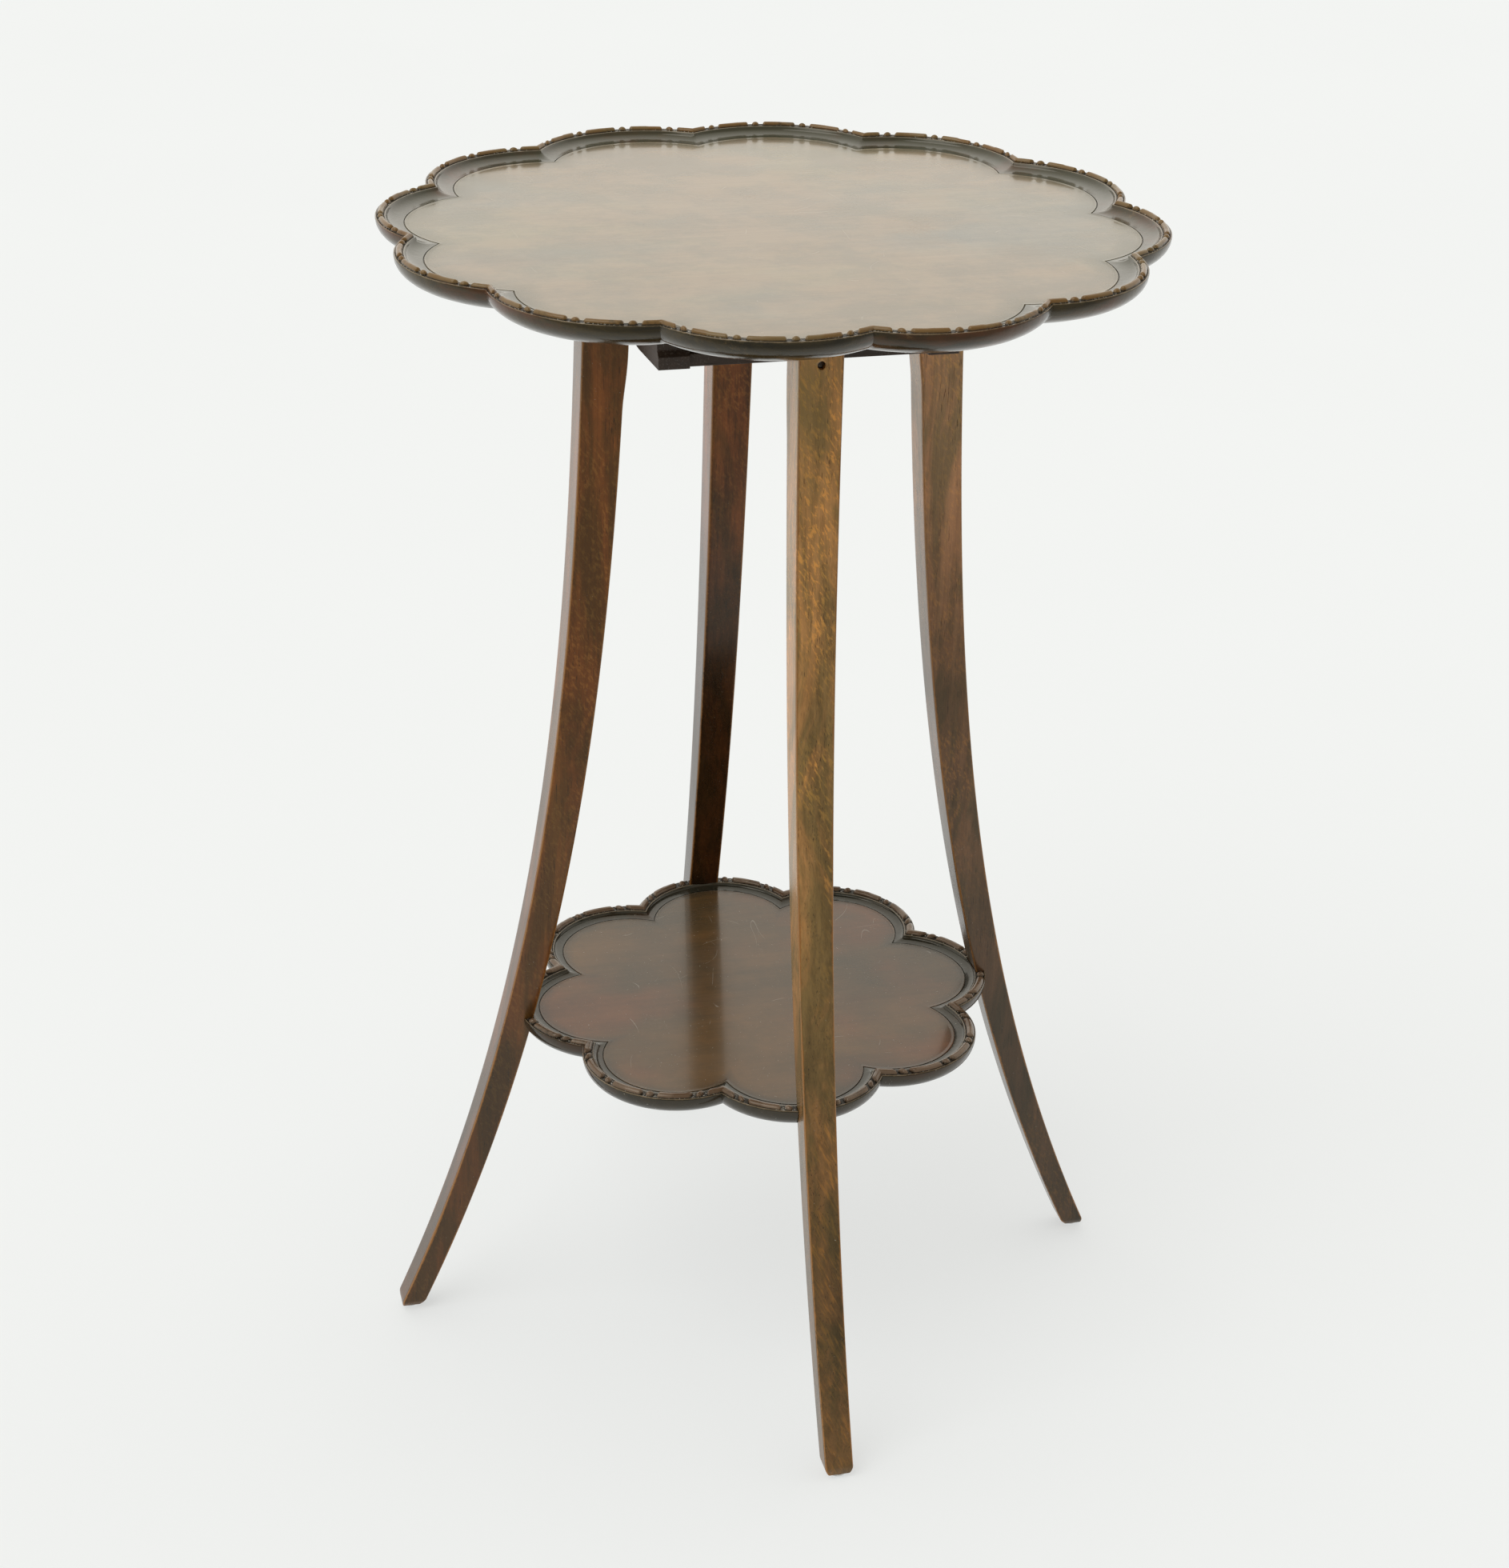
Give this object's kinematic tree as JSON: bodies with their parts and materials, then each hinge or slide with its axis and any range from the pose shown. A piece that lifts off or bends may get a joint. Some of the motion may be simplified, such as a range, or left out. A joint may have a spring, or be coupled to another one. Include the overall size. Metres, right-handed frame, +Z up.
{
  "type": "tilt top table",
  "caption": "Small two-tier occasional table with a lobed dished top that tilts upright on a square frame, splayed square sabre legs and a lobed lower shelf.",
  "frame": {"origin": "on the floor under the middle of the table, where the four legs' axes cross", "axes": "+Z up; the front leg is on -Y, the right leg on +X, the back leg on +Y and the left leg on -X; the top's front edge (-Y) lifts when it tilts"},
  "size_m": [0.471, 0.471, 0.72],
  "materials": {
    "top_wood": "semi-gloss polished mahogany, faded on the flat field, dark in the carving",
    "shelf_wood": "semi-gloss polished mahogany, lightly scratched",
    "leg_wood": "semi-gloss polished mahogany with worn arrises",
    "frame_wood": "plain stained wood, dull",
    "dowel_wood": "bare birch",
    "brass": "aged brass",
    "steel": "dull steel",
    "glide_metal": "bright plated steel"
  },
  "bodies": {
    "base": {"leg_front": "leg_wood", "leg_right": "leg_wood", "leg_back": "leg_wood", "leg_left": "leg_wood", "shelf_board": "shelf_wood", "side_rail_left": "frame_wood", "side_rail_right": "frame_wood", "front_rail": "frame_wood", "back_rail": "frame_wood", "shelf_dowel_front": "dowel_wood", "shelf_dowel_right": "dowel_wood", "shelf_dowel_back": "dowel_wood", "shelf_dowel_left": "dowel_wood", "striker_plate": "brass", "striker_screw_left": "brass", "striker_screw_right": "brass", "pivot_pin_left": "steel", "pivot_pin_right": "steel", "corner_screw_front_left": "steel", "corner_screw_front_right": "steel", "corner_screw_back_left": "steel", "corner_screw_back_right": "steel", "leg_screw_front_lower": "steel", "leg_screw_front_upper": "steel", "leg_screw_right_lower": "steel", "leg_screw_right_upper": "steel", "leg_screw_back_lower": "steel", "leg_screw_back_upper": "steel", "leg_screw_left_lower": "steel", "leg_screw_left_upper": "steel", "glide_front": "glide_metal", "glide_right": "glide_metal", "glide_back": "glide_metal", "glide_left": "glide_metal"},
    "top": {"top_board": "top_wood", "hinge_lug_left": "frame_wood", "hinge_lug_right": "frame_wood", "lug_screw_left_inner": "steel", "lug_screw_left_outer": "steel", "lug_screw_right_inner": "steel", "lug_screw_right_outer": "steel", "catch_pad": "frame_wood", "catch_plate": "brass", "catch_screw_front_left": "brass", "catch_screw_front_right": "brass", "catch_screw_back_left": "brass", "catch_screw_back_right": "brass"},
    "bolt": {"catch_bolt": "brass", "catch_knob": "brass"}
  },
  "joints": [
    {"name": "top_tilt", "type": "hinge", "parent": "base", "child": "top", "pos_m": [0, 0.099, 0.68], "axis": [-1, 0, 0], "range_deg": [0, 90]},
    {"name": "bolt_slide", "type": "slide", "parent": "top", "child": "bolt", "axis": [0, -1, 0], "range_m": [0, 0.009]}
  ]
}
